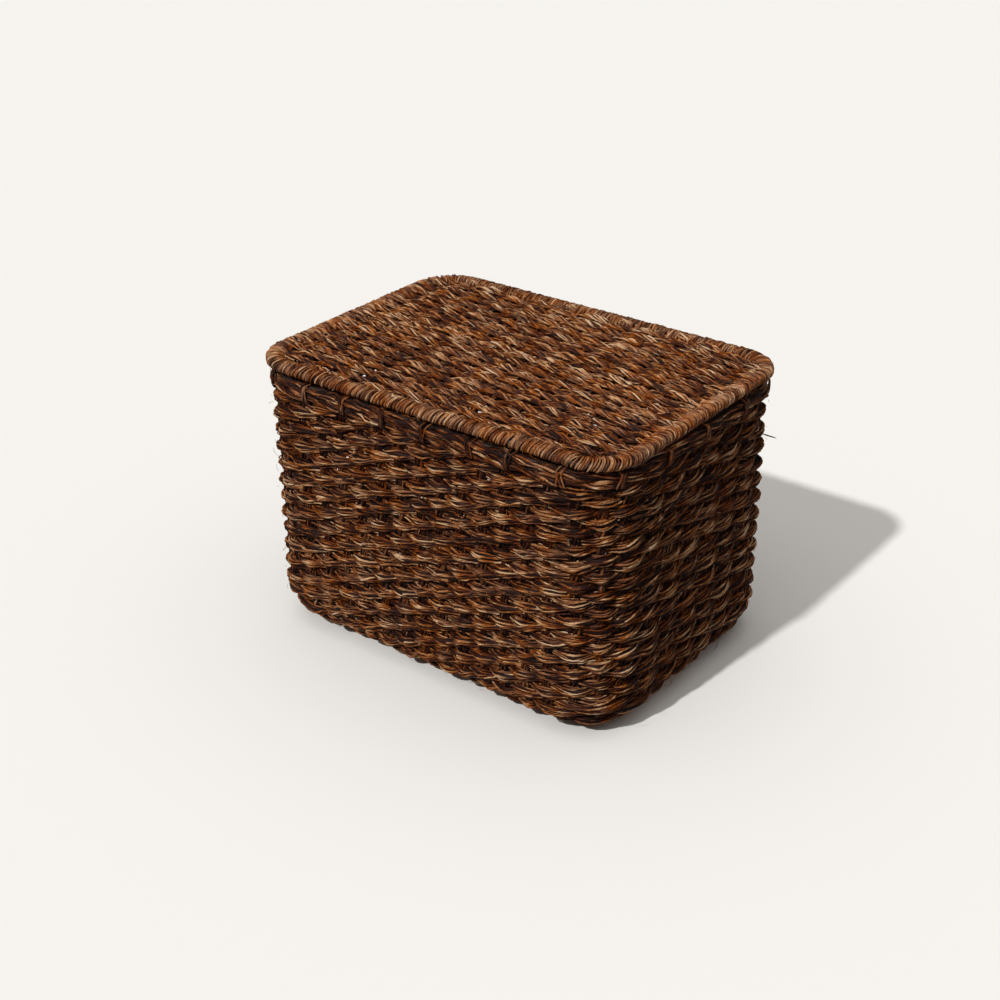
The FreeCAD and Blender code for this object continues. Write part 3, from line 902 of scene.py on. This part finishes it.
@dataclass
class WallStakes:
    """The upright stakes of fibre strands that the courses pass, some running on under the base.

    Each corner's wire post is wrapped in the same strands down to the bottom edge.
    """

    wall: Wall
    lay: Lay = Lay(11, 1.05 * MM, 5.8 * MM, 5.8 * MM, 2.1 * MM, 90 * MM)
    post_lay: Lay = Lay(8, 1.2 * MM, 3.9 * MM, 3.9 * MM, 3.6 * MM, 60 * MM, core_share=0.3)
    step: float = 9 * MM
    bend_points: int = 9
    side_turn: float = 4 * MM
    # Near-black tone: painted shade on the stakes and posts, which sit back behind the courses.
    tone: float = 0.08
    spread: float = 0.1

    def profile(self, top: float, turn_inward: float) -> np.ndarray:
        """Depth inside the outer face and height, from the top of a stake to its foot.

        Args:
            top: height of the stake's top.
            turn_inward: how far it runs on past the bottom edge, or negative where it stops above it.

        Returns:
            Rows of depth, height and the angle turned.
        """
        radius = self.wall.edge_radius - self.wall.middle
        centre = self.wall.edge_radius
        rows = [(self.wall.middle, z, 0.0) for z in np.arange(top, centre, -self.step)]
        if turn_inward < 0:
            return np.array([*rows, (self.wall.middle, centre, 0.0)])
        for angle in np.linspace(0, TURN / 4, self.bend_points):
            rows.append((centre - radius * math.cos(angle), centre - radius * math.sin(angle), angle))
        runs = max(1, round(turn_inward / (2 * self.step)))
        for share in np.linspace(0, 1, runs + 1)[1:]:
            rows.append((centre + turn_inward * share, centre - radius, TURN / 4))
        return np.array(rows)

    def line(self, distance: float, rows: np.ndarray) -> RopeLine:
        """A stake's line at one place round the wall.

        Args:
            distance: its distance round the wall.
            rows: its profile.

        Returns:
            An open line from its top.
        """
        points, normal = self.wall.outline.place(np.full(len(rows), distance), rows[:, 0], rows[:, 1])
        angle = rows[:, 2][:, None]
        outward = normal * np.cos(angle) - UPWARD * np.sin(angle)
        sideways = np.column_stack([-normal[:, 1], normal[:, 0], np.zeros(len(rows))])
        return RopeLine(points, outward, sideways, np.ones(len(rows)), False)

    def through_line(self, distance: float, top: float, half_width: float) -> RopeLine:
        """The line of a stake that runs down the front, under the base and up the back.

        Args:
            distance: its distance along the front.
            top: height of its two ends.
            half_width: half the basket's outside width.

        Returns:
            An open line from the front end to the back end.
        """
        rows = self.profile(top, half_width - self.wall.edge_radius)
        front = self.line(distance, rows)
        mirror = np.array([1.0, -1.0, 1.0])
        centre = np.vstack([front.centre, (front.centre * mirror)[-2::-1]])
        outward = np.vstack([front.outward, (front.outward * mirror)[-2::-1]])
        upward = np.vstack([front.upward, front.upward[-2::-1]])
        return RopeLine(centre, outward, upward, np.ones(len(centre)), False)

    def build(self, material: bpy.types.Material) -> None:
        """Make the through stakes, the side stakes and the corner stakes, and dress them.

        Args:
            material: the stakes' finish.
        """
        rng = np.random.default_rng(Seed.STAKES.value)
        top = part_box("front_back_stakes")[1].z
        half_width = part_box("side_course_01")[1].y
        strands = []
        for distance in self.wall.of_kind("front"):
            line = self.through_line(distance, top, half_width)
            strands += lay_rope(line, self.lay, self.tone, self.spread, rng)
        piece = sweep_strands("stakes_front_back", strands, Section.SQUARE, rng)
        dress(piece, material, Body.BASKET, Slot.BODY_ROPE, "front_back_stakes")
        for side in ("left", "right"):
            rows = self.profile(top, self.side_turn)
            strands = []
            for distance in self.wall.of_kind(side):
                strands += lay_rope(self.line(distance, rows), self.lay, self.tone, self.spread, rng)
            piece = sweep_strands(f"stakes_{side}", strands, Section.SQUARE, rng)
            dress(piece, material, Body.BASKET, Slot.BODY_ROPE, f"{side}_side_stakes")
        corners = self.wall.of_kind("corner_stake")
        posts = self.wall.of_kind("post")
        rows = self.profile(top, -1)
        for number, name in enumerate(("front_right", "back_right", "back_left", "front_left")):
            strands = []
            for distance in corners[2 * number:2 * number + 2]:
                strands += lay_rope(self.line(distance, rows), self.lay, self.tone, self.spread, rng)
            post = self.line(posts[number], rows)
            strands += lay_rope(post, self.post_lay, self.tone, self.spread, rng)
            piece = sweep_strands(f"stakes_corner_{name}", strands, Section.SQUARE, rng)
            dress(piece, material, Body.BASKET, Slot.BODY_ROPE, f"corner_stakes_{name}")


@dataclass
class RowPanel:
    """Rows of plaited rope across a rounded rectangle, over and under its stakes."""

    half_length: float
    half_width: float
    corner_radius: float
    stake_places: np.ndarray
    rows: int
    middle: float
    swing: float
    lay: Lay
    per_gap: int
    bulge: float = 0.1
    sideways_sway: float = 0.35 * MM
    tone_step: float = 0.04
    fewest_points: int = 8

    def reach(self, across: float) -> float:
        """How far the rounded rectangle reaches along X at a distance across it.

        Args:
            across: distance from the middle, along Y.

        Returns:
            Half the row's length there.
        """
        beyond = abs(across) - (self.half_width - self.corner_radius)
        if beyond <= 0:
            return self.half_length
        arc = math.sqrt(max(self.corner_radius ** 2 - beyond ** 2, 0.0))
        return self.half_length - self.corner_radius + arc

    def line(self, number: int, rng: np.random.Generator) -> RopeLine:
        """The line of one row.

        Args:
            number: the row, counted from 0 at the front.
            rng: the seeded source of its unevenness.

        Returns:
            An open line along X.
        """
        step = 2 * self.half_width / self.rows
        across = -self.half_width + (number + 0.5) * step
        reach = self.reach(abs(across) + step / 2)
        pitch = self.stake_places[1] - self.stake_places[0]
        points = max(self.fewest_points, round(2 * reach / pitch * self.per_gap))
        along = np.linspace(-reach, reach, points)
        count = (along - self.stake_places[0]) / pitch
        floats = max(HAND.fewest_floats, round(2 * reach / pitch))
        wave = np.cos(math.pi * (count + number)) * (1 + self.bulge * wander(rng, points, floats))
        sideways = across + self.sideways_sway * wander(rng, points, floats)
        centre = np.column_stack([along, sideways, self.middle - self.swing * wave])
        outward = np.tile(UPWARD, (points, 1))
        upward = np.tile([0.0, 1.0, 0.0], (points, 1))
        return RopeLine(centre, outward, upward, weave_fullness(count), False)

    def strands(self, parity: int, tone: float, spread: float, seed: int) -> list[Strand]:
        """The strands of every second row.

        Args:
            parity: 0 for the first, third and so on, 1 for the others.
            tone: the rows' middle tone.
            spread: how much their strands' tones differ.
            seed: where their random values start.

        Returns:
            All their strands.
        """
        found = []
        for number in range(parity, self.rows, 2):
            rng = np.random.default_rng(seed + number)
            line = self.line(number, rng)
            found += lay_rope(line, self.lay, tone + rng.normal(0, self.tone_step), spread, rng)
        return found


@dataclass
class BasketBase:
    """The woven base: rope rows along the basket, over and under the stakes that run from front to back."""

    wall: Wall
    inset: float = 6 * MM
    pitch: float = 8.2 * MM
    lay: Lay = Lay(8, 1.05 * MM, 4.9 * MM, 4.2 * MM, 3.2 * MM, 120 * MM)
    per_gap: int = 4
    tone: float = 0.465
    spread: float = 0.16

    def build(self, material: bpy.types.Material) -> None:
        """Make the odd and the even rows and dress them.

        Args:
            material: the rows' finish.
        """
        outline = self.wall.outline
        gone = self.wall.edge_radius + self.inset
        half_width = outline.half_width - gone
        stakes = np.array(self.wall.of_kind("front"))
        points, _ = outline.place(stakes, np.zeros(len(stakes)), np.zeros(len(stakes)))
        panel = RowPanel(
            outline.half_length - gone, half_width, outline.corner_radius - gone, points[:, 0],
            round(2 * half_width / self.pitch), self.wall.middle, self.wall.swing, self.lay, self.per_gap,
        )
        for parity, name in enumerate(("odd", "even")):
            rng = np.random.default_rng(Seed.BASE.value + parity)
            strands = panel.strands(parity, self.tone, self.spread, Seed.BASE_ROWS.value)
            keep_off_floor(strands)
            piece = sweep_strands(f"base_ropes_{name}", strands, Section.SQUARE, rng)
            dress(piece, material, Body.BASKET, Slot.BODY_ROPE, f"base_rows_{name}")


@dataclass
class TopBorder:
    """The border: stacked ropes outside and inside the stake ends, lashed round at every second gap.

    The loops' shift, slant and bend are in millimetres.
    """

    wall: Wall
    lay: Lay = Lay(12, 0.72 * MM, 4.7 * MM, 3.5 * MM, 3.1 * MM, 130 * MM)
    stacked: int = 2
    per_gap: int = 6
    swing: float = 1.2 * MM
    lashing_strands: int = 4
    lashing_width: float = 5.4 * MM
    lashing_radius: float = 0.76 * MM
    # The upper ply's darker tone is painted shade under the lid's edge; the lower ply keeps the rope's own
    # tone.
    ply_tones_upper_painted_shade: tuple[float, float] = (0.46, 0.2)
    loop_points: int = 22
    spread: float = 0.16
    ply_depth: float = 4.2 * MM
    ply_sway: float = 0.25 * MM
    ply_bulge: float = 0.3
    ply_bulges: int = 50
    loop_shift: float = 3.0
    loop_tone: tuple[float, float] = (0.27, 0.07)
    loop_strand_tone: float = 0.12
    loop_squareness: float = 0.42
    loop_grip: tuple[float, float] = (-0.03, 0.04)
    loop_bedding: float = 0.6
    loop_slant: float = 2.0
    loop_bend: float = 0.8
    loop_bends: int = 5
    loop_size: tuple[float, float] = (0.85, 1.2)
    loop_blotches: int = 8

    def rope_line(self, node: str, depth: float, number: int, rng: np.random.Generator) -> RopeLine:
        """The line of one of a border rope's stacked plies.

        Args:
            node: the border rope's node.
            depth: depth of its middle inside the wall's outer face.
            number: the ply, counted from 0 at the bottom.
            rng: the seeded source of its unevenness.

        Returns:
            A closed line round the border.
        """
        low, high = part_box(node)
        distance, count = self.wall.weave_grid(self.per_gap, False)
        height = low.z + (high.z - low.z) * (number + 0.5) / self.stacked
        level = height + self.ply_sway * wander(rng, len(count), self.ply_bulges)
        wave = np.cos(math.pi * (count + number))
        bulge = 1 + self.ply_bulge * wander(rng, len(count), self.ply_bulges)
        depths = depth - self.swing * wave * bulge
        centre, outward = self.wall.outline.place(distance, depths, level)
        upward = np.tile(UPWARD, (len(count), 1))
        return RopeLine(centre, outward, upward, weave_fullness(count), True)

    def lashings(self, rng: np.random.Generator) -> list[Strand]:
        """Every lashing's strands, each one closed loop round the whole border.

        Args:
            rng: the seeded source of their unevenness.

        Returns:
            The loops.
        """
        low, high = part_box("border_lashings")
        places = self.wall.places
        angle = np.arange(self.loop_points) * TURN / self.loop_points
        found = []
        out = np.sign(np.cos(angle)) * np.abs(np.cos(angle)) ** self.loop_squareness
        rise = np.sign(np.sin(angle)) * np.abs(np.sin(angle)) ** self.loop_squareness
        level = (low.z + high.z) / 2 + ((high.z - low.z) / 2 - self.lashing_radius) * rise
        for index in range(0, len(places), 2):
            middle = (places[index][1] + places[index + 1][1]) / 2
            middle = middle + rng.uniform(-self.loop_shift, self.loop_shift) * MM
            loop_tone = self.loop_tone[0] + rng.normal(0, self.loop_tone[1])
            for number in range(self.lashing_strands):
                aside = self.lashing_width * ((number + 0.5) / self.lashing_strands - 0.5)
                grip = 1 + rng.uniform(*self.loop_grip)
                reach = (self.wall.middle - self.lashing_radius * self.loop_bedding) * out
                depth = self.wall.middle - reach * grip
                slant = rng.uniform(-self.loop_slant, self.loop_slant)
                slant = (slant + self.loop_bend * wander(rng, len(angle), self.loop_bends)) * MM * rise
                points, _ = self.wall.outline.place(middle + aside + slant, depth, level)
                size = self.lashing_radius * rng.uniform(*self.loop_size)
                tones = loop_tone + rng.normal(0, self.loop_strand_tone)
                tones = tones + self.loop_strand_tone * wander(rng, len(angle), self.loop_blotches)
                found.append(Strand(points, np.full(len(angle), size), tones, True))
        return found

    def build(self, material: bpy.types.Material, binding: bpy.types.Material) -> None:
        """Make the two border ropes and the lashings, and dress them.

        Args:
            material: the ropes' finish.
            binding: the lashings' finish.
        """
        inner_depth = self.wall.thickness - self.ply_depth
        plies = {"border_rope_outer": self.ply_depth, "border_rope_inner": inner_depth}
        for node, depth in plies.items():
            rng = np.random.default_rng(Seed.BORDER.value + len(node))
            strands = []
            for number in range(self.stacked):
                line = self.rope_line(node, depth, number, rng)
                strands += lay_rope(line, self.lay, self.ply_tones_upper_painted_shade[number], self.spread, rng)
            piece = sweep_strands(node.replace("rope", "plies"), strands, Section.SQUARE, rng)
            dress(piece, material, Body.BASKET, Slot.BODY_ROPE, node)
        rng = np.random.default_rng(Seed.LASHINGS.value)
        piece = sweep_strands("border_bindings", self.lashings(rng), Section.HEXAGON, rng)
        dress(piece, binding, Body.BASKET, Slot.BINDING, "border_lashings")


# ---- The lid ----


@dataclass
class LidPanel:
    """The lid's woven panel: rope rows along it, over and under stakes from front to back."""

    inset: float = 6.4 * MM
    corner_radius: float = 40.4 * MM
    stake_pitch: float = 29.4 * MM
    stake_width: float = 7.0 * MM
    rows: int = 37
    swing: float = 2.7 * MM
    lay: Lay = Lay(11, 0.62 * MM, 3.9 * MM, 2.75 * MM, 2.4 * MM, 48 * MM)
    stake_lay: Lay = Lay(10, 0.9 * MM, 6.2 * MM, 6.2 * MM, 1.6 * MM, 80 * MM)
    per_gap: int = 8
    stake_points: int = 40
    tone: float = 0.54
    spread: float = 0.17
    # Near-black tone: painted shade on the lid's stakes, which sit under the rows.
    stake_painted_shade_tone: float = 0.08
    stake_spread: float = 0.1

    def panel(self) -> RowPanel:
        """Size the panel from the rim's box.

        Returns:
            The rows' panel.
        """
        low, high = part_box("lid_rim_wrap")
        half_length = high.x - self.inset
        half_width = high.y - self.inset
        length = 2 * (half_length - self.stake_width)
        places = np.array(centred_places(length, self.stake_pitch)) - length / 2
        return RowPanel(
            half_length, half_width, self.corner_radius - self.inset, places,
            self.rows, (low.z + high.z) / 2, self.swing, self.lay, self.per_gap,
        )

    def build(self, material: bpy.types.Material) -> None:
        """Make the rows and the stakes and dress them.

        Args:
            material: their finish.
        """
        panel = self.panel()
        for parity, name in enumerate(("odd", "even")):
            rng = np.random.default_rng(Seed.LID.value + parity)
            strands = panel.strands(parity, self.tone, self.spread, Seed.LID_ROWS.value)
            piece = sweep_strands(f"lid_ropes_{name}", strands, Section.SQUARE, rng)
            dress(piece, material, Body.LID, Slot.LID_ROPE, f"lid_rows_{name}")
        rng = np.random.default_rng(Seed.LID_STAKES.value)
        bars = [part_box(f"lid_cross_bar_{side}") for side in ("left", "right")]
        bar_middles = [(low.x + high.x) / 2 for low, high in bars]
        swapped = RowPanel(
            panel.half_width, panel.half_length, panel.corner_radius, panel.stake_places,
            1, panel.middle, 0.0, self.stake_lay, 1,
        )
        count = self.stake_points
        upward, sideways = np.tile(UPWARD, (count, 1)), np.tile([1.0, 0.0, 0.0], (count, 1))
        strands = []
        for place in panel.stake_places:
            if min(abs(place - middle) for middle in bar_middles) < self.stake_width:
                continue
            reach = swapped.reach(abs(place) + self.stake_width / 2)
            along = np.linspace(-reach, reach, count)
            centre = np.column_stack([np.full(count, place), along, np.full(count, panel.middle)])
            line = RopeLine(centre, upward, sideways, np.ones(count), False)
            strands += lay_rope(line, self.stake_lay, self.stake_painted_shade_tone, self.stake_spread, rng)
        piece = sweep_strands("lid_stake_ropes", strands, Section.SQUARE, rng)
        dress(piece, material, Body.LID, Slot.LID_ROPE, "lid_stakes")


@dataclass
class LidRim:
    """The lid's rim: strands wound close together round the hoop and the panel's edge."""

    corner_radius: float = 40.4 * MM
    wrap_width: float = 16 * MM
    strands: int = 3
    strand_pitch: float = 1.3 * MM
    strand_radius: float = 0.76 * MM
    turn_points: int = 16
    width_unevenness: float = 0.14
    squareness: float = 0.85
    inner_flattening: float = 0.22
    level_sway: float = 0.3 * MM
    slip: float = 0.8 * MM
    slant: float = 2.0 * MM
    radius_unevenness: float = 0.26
    radius_range: tuple[float, float] = (0.4, 1.6)
    tone: float = 0.525
    turn_tone: float = 0.15
    blotch_tone: float = 0.12

    def helix(self, number: int, rng: np.random.Generator) -> Strand:
        """One of the strands, wound all the way round the rim.

        Args:
            number: the strand, counted from 0.
            rng: the seeded source of its unevenness.

        Returns:
            A closed strand.
        """
        low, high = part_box("lid_rim_wrap")
        outline = RoundedOutline(high.x, high.y, self.corner_radius, self.corner_radius / 4)
        lead = self.strands * self.strand_pitch
        turns = round(outline.length() / lead)
        count = turns * self.turn_points
        share = np.arange(count) / count
        angle = TURN * turns * share
        width = self.wrap_width / 2 * (1 + self.width_unevenness * wander(rng, count, turns))
        half_height = (high.z - low.z) / 2 - self.strand_radius
        inner = (1 - np.cos(angle)) / 2
        sine = np.sign(np.sin(angle)) * np.abs(np.sin(angle)) ** self.squareness
        depth = self.strand_radius + (width - self.strand_radius) * (1 - np.cos(angle))
        level = (low.z + high.z) / 2 + half_height * sine * (1 - self.inner_flattening * inner)
        level = level + self.level_sway * wander(rng, count, 2 * turns)
        distance = outline.length() * share + self.strand_pitch * number
        distance = distance + self.slip * wander(rng, count, 2 * turns)
        distance = distance + self.slant * np.sin(angle) * (1 - inner)
        points, _ = outline.place(distance, depth, level)
        swell = 1 + self.radius_unevenness * wander(rng, count, 3 * turns)
        radii = self.strand_radius * np.clip(swell, *self.radius_range)
        tones = self.tone + self.turn_tone * wander(rng, count, turns)
        tones = tones + self.blotch_tone * wander(rng, count, 5 * turns)
        return Strand(points, radii, tones, True)

    def build(self, material: bpy.types.Material) -> None:
        """Wind the rim and dress it.

        Args:
            material: the strands' finish.
        """
        rng = np.random.default_rng(Seed.RIM.value)
        strands = [self.helix(number, rng) for number in range(self.strands)]
        piece = sweep_strands("lid_rim_winding", strands, Section.SQUARE, rng)
        dress(piece, material, Body.LID, Slot.BINDING, "lid_rim_wrap")


# ---- Frame wires and loose fibres ----


@dataclass
class WireFrame:
    """The welded wire under the weave: the frame's own meshes with a lacquered finish."""

    finish: LacqueredWire = LacqueredWire()

    def build(self) -> None:
        """Give every wire node the lacquered finish."""
        material = self.finish.build()
        for name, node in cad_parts.items():
            if "hoop" in name or "post" in name or "bar" in name:
                node.data.materials.clear()
                node.data.materials.append(material)
                LOG.info("%s: lacquered wire", name)


@dataclass
class LooseFibres:
    """Stray hairs and broken ends that stand off the weave."""

    wall: Wall
    wall_hairs: int = 420
    lid_hairs: int = 220
    points: int = 7
    radius: tuple[float, float] = (0.1 * MM, 0.24 * MM)
    length: tuple[float, float] = (3.5 * MM, 13 * MM)
    twig_length: float = 15 * MM
    twig_root: float = 9 * MM
    twig_radius: float = 0.75 * MM
    twig_height: float = 196 * MM
    twig_aside: float = 104 * MM
    twig_tone: float = 0.05
    lift: tuple[float, float] = (0.08, 0.3)
    curl: tuple[float, float] = (1.4, 2.8)
    drift: tuple[float, float] = (-0.3, 0.3)
    tone: tuple[float, float] = (0.35, 0.9)
    turn: float = 0.5
    wall_reach: tuple[float, float] = (14 * MM, 238 * MM)
    wall_root: float = 1.0 * MM
    lid_root: float = 1.6 * MM
    lid_reach: tuple[float, float] = (0.94, 0.92)

    def twig(self) -> Strand:
        """Shape the one broken twig end that sticks out of the right side, near the back.

        Returns:
            An open strand.
        """
        share = np.linspace(0, 1, self.points)
        outer = self.wall.outline.half_length - self.twig_root
        points = np.column_stack([
            outer + self.twig_length * share,
            self.twig_aside + 0.9 * MM * share ** 2,
            self.twig_height - 0.8 * MM * share,
        ])
        radii = self.twig_radius * (1 - 0.3 * share)
        return Strand(points, radii, np.full(self.points, self.twig_tone))

    def hair(
        self, root: np.ndarray, outward: np.ndarray, tangent: np.ndarray, rng: np.random.Generator
    ) -> Strand:
        """One curved hair.

        Args:
            root: where it leaves the weave.
            outward: the direction away from the weave.
            tangent: a direction along the weave.
            rng: the seeded source of its shape.

        Returns:
            An open strand.
        """
        length = rng.uniform(*self.length)
        share = np.linspace(0, 1, self.points)
        lift = rng.uniform(*self.lift)
        side = np.cross(outward, tangent)
        along = tangent * length * share[:, None]
        rise = outward * (length * lift * np.sin(share * rng.uniform(*self.curl)))[:, None]
        drift = side * (length * rng.uniform(*self.drift) * share ** 2)[:, None]
        points = root + along + rise + drift
        radii = np.full(self.points, rng.uniform(*self.radius))
        return Strand(points, radii, np.full(self.points, rng.uniform(*self.tone)))

    def heading(self, rng: np.random.Generator) -> float:
        """A hair's direction along the weave, either way along it and a little off."""
        return rng.normal(0, self.turn) + (math.pi if rng.random() < 0.5 else 0)

    def build(self, body_material: bpy.types.Material, lid_material: bpy.types.Material) -> None:
        """Scatter the hairs over the wall and the lid and dress them.

        Args:
            body_material: the wall hairs' finish.
            lid_material: the lid hairs' finish.
        """
        rng = np.random.default_rng(Seed.LOOSE_FIBRES.value)
        strands = []
        for _ in range(self.wall_hairs):
            distance = np.array([rng.uniform(0, self.wall.outline.length())])
            height = np.array([rng.uniform(*self.wall_reach)])
            lowest = self.wall.edge_radius
            tuck = lowest - math.sqrt(max(lowest ** 2 - max(lowest - height[0], 0.0) ** 2, 0.0))
            depth = np.array([tuck + self.wall_root])
            root, normal = self.wall.outline.place(distance, depth, height)
            turn = self.heading(rng)
            level = np.array([-normal[0, 1], normal[0, 0], 0.0])
            tangent = level * math.cos(turn) + UPWARD * math.sin(turn)
            strands.append(self.hair(root[0], normal[0], tangent, rng))
        strands.append(self.twig())
        piece = sweep_strands("loose_fibres_basket", strands, Section.SQUARE, rng)
        dress(piece, body_material, Body.BASKET, Slot.BODY_ROPE)
        low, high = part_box("lid_rim_wrap")
        strands = []
        for _ in range(self.lid_hairs):
            along = rng.uniform(low.x * self.lid_reach[0], high.x * self.lid_reach[0])
            across = rng.uniform(low.y * self.lid_reach[1], high.y * self.lid_reach[1])
            root = np.array([along, across, high.z - self.lid_root])
            turn = self.heading(rng)
            tangent = np.array([math.cos(turn), math.sin(turn), 0.0])
            strands.append(self.hair(root, UPWARD, tangent, rng))
        piece = sweep_strands("loose_fibres_lid", strands, Section.SQUARE, rng)
        dress(piece, lid_material, Body.LID, Slot.LID_ROPE)


# ---- Studio ----


@dataclass
class Studio:
    """A pale floor and backdrop, a soft-edged sun from the front, an overhead sky and the camera."""

    floor_half: float = 9.0
    azimuth: float = 37.742
    elevation: float = 27.775
    distance: float = 1.4557
    target: tuple[float, float, float] = (0.0, 0.0, 0.110)
    slide_right: float = -15.585 * MM
    slide_up: float = 7.546 * MM
    roll: float = -0.516
    lens: float = 58.617
    sun_travel: tuple[float, float, float] = (0.095, 0.996, -1.0)
    sun_strength: float = 2.36
    sun_width: float = 2.2
    sky_strength: float = 1.13
    horizon_strength: float = 0.09
    bounce_strength: float = 0.32
    backdrop_strength: float = 0.98
    sky: str = "F6F4F2"

    def build(self) -> None:
        """Make the floor, the lights and the camera."""
        self.floor()
        self.lights()
        self.camera()
        bpy.context.scene.view_settings.view_transform = "Standard"

    def floor(self) -> None:
        """Lay the floor under the basket."""
        work = bmesh.new()
        bmesh.ops.create_grid(work, x_segments=1, y_segments=1, size=self.floor_half)
        mesh = bpy.data.meshes.new("floor")
        work.to_mesh(mesh)
        work.free()
        mesh.materials.append(PaintedFloor().build())
        floor = bpy.data.objects.new("floor", mesh)
        bpy.context.scene.collection.objects.link(floor)
        floor.visible_diffuse = False
        floor.visible_glossy = False

    def lights(self) -> None:
        """Hang the sun and fill the sky."""
        light = bpy.data.lights.new("sun", "SUN")
        light.energy = self.sun_strength
        light.angle = math.radians(self.sun_width)
        sun = bpy.data.objects.new("sun", light)
        sun.rotation_euler = Vector(self.sun_travel).to_track_quat("-Z", "Y").to_euler()
        bpy.context.scene.collection.objects.link(sun)
        world = bpy.data.worlds.new("sky")
        world.use_nodes = True
        tree = world.node_tree
        backdrop = tree.nodes["Background"]
        backdrop.inputs["Color"].default_value = linear_colour(self.sky)
        direction = add_node(tree, "ShaderNodeTexCoord")
        split = add_node(tree, "ShaderNodeSeparateXYZ", links={"Vector": direction.outputs["Generated"]})
        overhead = add_node(
            tree, "ShaderNodeMapRange",
            {"From Min": 0.5, "From Max": 0.95, "To Min": self.horizon_strength, "To Max": self.sky_strength},
            {"Value": split.outputs["Z"]},
        )
        below = add_node(
            tree, "ShaderNodeMath", {"operation": "LESS_THAN", 1: 0.0}, {0: split.outputs["Z"]},
        )
        strength = add_node(
            tree, "ShaderNodeMath", {"operation": "MULTIPLY_ADD", 1: self.bounce_strength},
            {0: below.outputs["Value"], 2: overhead.outputs["Result"]},
        )
        seen = add_node(tree, "ShaderNodeLightPath")
        shown = add_node(
            tree, "ShaderNodeMapRange", {"To Max": self.backdrop_strength},
            {"Value": seen.outputs["Is Camera Ray"], "To Min": strength.outputs["Value"]},
        )
        tree.links.new(shown.outputs["Result"], backdrop.inputs["Strength"])
        bpy.context.scene.world = world

    def camera(self) -> None:
        """Stand the camera where it looks down on the basket's front right corner."""
        turn, rise = math.radians(self.azimuth), math.radians(self.elevation)
        back = Vector((math.sin(turn) * math.cos(rise), -math.cos(turn) * math.cos(rise), math.sin(rise)))
        right = Vector((math.cos(turn), math.sin(turn), 0.0))
        up = back.cross(right)
        tilt = Matrix.Rotation(math.radians(self.roll), 3, back)
        data = bpy.data.cameras.new("camera")
        data.lens = self.lens
        camera = bpy.data.objects.new("camera", data)
        place = Vector(self.target) + back * self.distance + right * self.slide_right + up * self.slide_up
        axes = Matrix((tilt @ right, tilt @ up, back)).transposed()
        camera.matrix_world = Matrix.Translation(place) @ axes.to_4x4()
        bpy.context.scene.collection.objects.link(camera)
        bpy.context.scene.camera = camera


def main() -> None:
    """Build and dress every sub-assembly, then the studio."""
    logging.basicConfig(level=logging.INFO, format="%(name)s: %(message)s")
    body_fibre = BODY_FIBRE.build()
    lid_fibre = LID_FIBRE.build()
    binding_fibre = BINDING_FIBRE.build()
    wall = Wall()
    WallCourses(wall).build(body_fibre)
    BottomEdge(wall).build(body_fibre)
    WallStakes(wall).build(body_fibre)
    BasketBase(wall).build(body_fibre)
    TopBorder(wall).build(body_fibre, binding_fibre)
    LidPanel().build(lid_fibre)
    LidRim().build(binding_fibre)
    WireFrame().build()
    LooseFibres(wall).build(body_fibre, lid_fibre)
    Studio().build()


if __name__ == "__main__":
    main()
